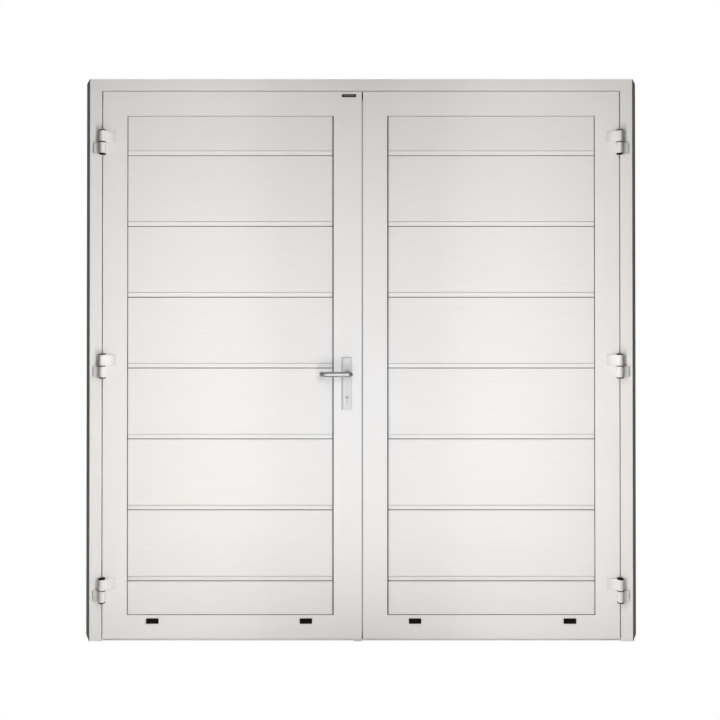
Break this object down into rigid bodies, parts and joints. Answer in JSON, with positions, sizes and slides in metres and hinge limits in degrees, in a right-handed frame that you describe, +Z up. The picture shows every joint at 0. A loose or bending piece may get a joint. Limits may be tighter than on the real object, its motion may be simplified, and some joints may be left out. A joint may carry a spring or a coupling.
{
  "type": "double utility door",
  "caption": "White double-leaf utility door in its frame, with grooved infill panels, barrel hinges, a lever lock on the active leaf and flush bolts on the passive leaf.",
  "frame": {"origin": "on the floor, in the middle of the frame's width and depth", "axes": "+X to the right seen from outside, +Y from the outside to the inside, +Z up"},
  "size_m": [2.196, 0.181, 2.2],
  "materials": {
    "frame_paint": "white powder coat, satin",
    "panel_paint": "white coated steel with an embossed wood grain",
    "side_strip": "dark grey, matt",
    "seal_rubber": "black, matt",
    "black_plastic": "black, moulded",
    "lever_steel": "satin stainless",
    "plate_metal": "satin, pale",
    "cylinder_metal": "satin nickel",
    "foot_plastic": "white moulded",
    "hinge_paint": "white powder coat, satin",
    "threshold_metal": "natural anodised",
    "hardware_steel": "zinc plated"
  },
  "bodies": {
    "frame": {"left_jamb": "frame_paint", "right_jamb": "frame_paint", "head": "frame_paint", "threshold": "threshold_metal", "left_side_strip": "side_strip", "right_side_strip": "side_strip", "frame_gasket": "seal_rubber", "head_bolt_keep": "hardware_steel", "left_jamb_hinge_halves": "hinge_paint", "right_jamb_hinge_halves": "hinge_paint", "hinge_pins": "hardware_steel", "hinge_washers": "black_plastic", "hinge_lower_caps": "black_plastic"},
    "active_leaf": {"active_hinge_stile": "frame_paint", "active_top_rail": "frame_paint", "active_bottom_rail": "frame_paint", "active_infill_panel": "panel_paint", "active_outer_panel_gasket": "seal_rubber", "active_inner_panel_gasket": "seal_rubber", "active_panel_beads": "frame_paint", "active_bottom_seal": "seal_rubber", "active_meeting_seal": "seal_rubber", "active_drain_caps": "black_plastic", "active_leaf_hinge_halves": "hinge_paint", "active_hinge_upper_caps": "black_plastic", "active_lock_stile": "frame_paint", "foot_block": "foot_plastic", "lock_case": "hardware_steel", "lock_faceplate": "hardware_steel", "outer_handle_plate": "plate_metal", "inner_handle_plate": "plate_metal", "handle_plate_screws": "hardware_steel", "cylinder_body": "cylinder_metal"},
    "passive_leaf": {"passive_hinge_stile": "frame_paint", "passive_top_rail": "frame_paint", "passive_bottom_rail": "frame_paint", "passive_infill_panel": "panel_paint", "passive_outer_panel_gasket": "seal_rubber", "passive_inner_panel_gasket": "seal_rubber", "passive_panel_beads": "frame_paint", "passive_bottom_seal": "seal_rubber", "passive_meeting_seal": "seal_rubber", "passive_drain_caps": "black_plastic", "passive_leaf_hinge_halves": "hinge_paint", "passive_hinge_upper_caps": "black_plastic", "passive_strike_stile": "frame_paint", "strike_plate": "hardware_steel", "top_flush_plate": "hardware_steel", "bottom_flush_plate": "hardware_steel", "top_flush_guide": "black_plastic", "bottom_flush_guide": "black_plastic"},
    "lever_set": {"outer_lever": "lever_steel", "inner_lever": "lever_steel", "spindle": "hardware_steel"},
    "latch": {"latch_bolt": "hardware_steel"},
    "dead_bolt": {"dead_bolt": "hardware_steel"},
    "cylinder_plug": {"cylinder_plug": "cylinder_metal"},
    "top_bolt": {"top_flush_bolt": "hardware_steel"},
    "bottom_bolt": {"bottom_flush_bolt": "hardware_steel"}
  },
  "joints": [
    {"name": "active_leaf_swing", "type": "hinge", "parent": "frame", "child": "active_leaf", "pos_m": [-1.009, -0.0484, 0], "axis": [0, 0, -1], "range_deg": [0, 165]},
    {"name": "passive_leaf_swing", "type": "hinge", "parent": "frame", "child": "passive_leaf", "pos_m": [1.009, -0.0484, 0], "axis": [0, 0, 1], "range_deg": [0, 165]},
    {"name": "lever_turn", "type": "hinge", "parent": "active_leaf", "child": "lever_set", "pos_m": [-0.0545, 0, 1.046], "axis": [0, -1, 0], "range_deg": [0, 40], "stiffness_Nm_per_rad": 1, "springref_deg": -28.65},
    {"name": "latch_slide", "type": "slide", "parent": "active_leaf", "child": "latch", "axis": [-1, 0, 0], "range_m": [0, 0.012]},
    {"name": "cylinder_turn", "type": "hinge", "parent": "active_leaf", "child": "cylinder_plug", "pos_m": [-0.0545, 0, 0.954], "axis": [0, 1, 0], "range_deg": [0, 360]},
    {"name": "dead_bolt_slide", "type": "slide", "parent": "active_leaf", "child": "dead_bolt", "axis": [1, 0, 0], "range_m": [0, 0.02]},
    {"name": "top_bolt_slide", "type": "slide", "parent": "passive_leaf", "child": "top_bolt", "axis": [0, 0, 1], "range_m": [0, 0.02]},
    {"name": "bottom_bolt_slide", "type": "slide", "parent": "passive_leaf", "child": "bottom_bolt", "axis": [0, 0, -1], "range_m": [0, 0.01]}
  ],
  "couplings": [
    {"joint": "latch_slide", "follows": "lever_turn", "m_per_rad": 0.017188},
    {"joint": "dead_bolt_slide", "follows": "cylinder_turn", "m_per_rad": 0.003182}
  ]
}
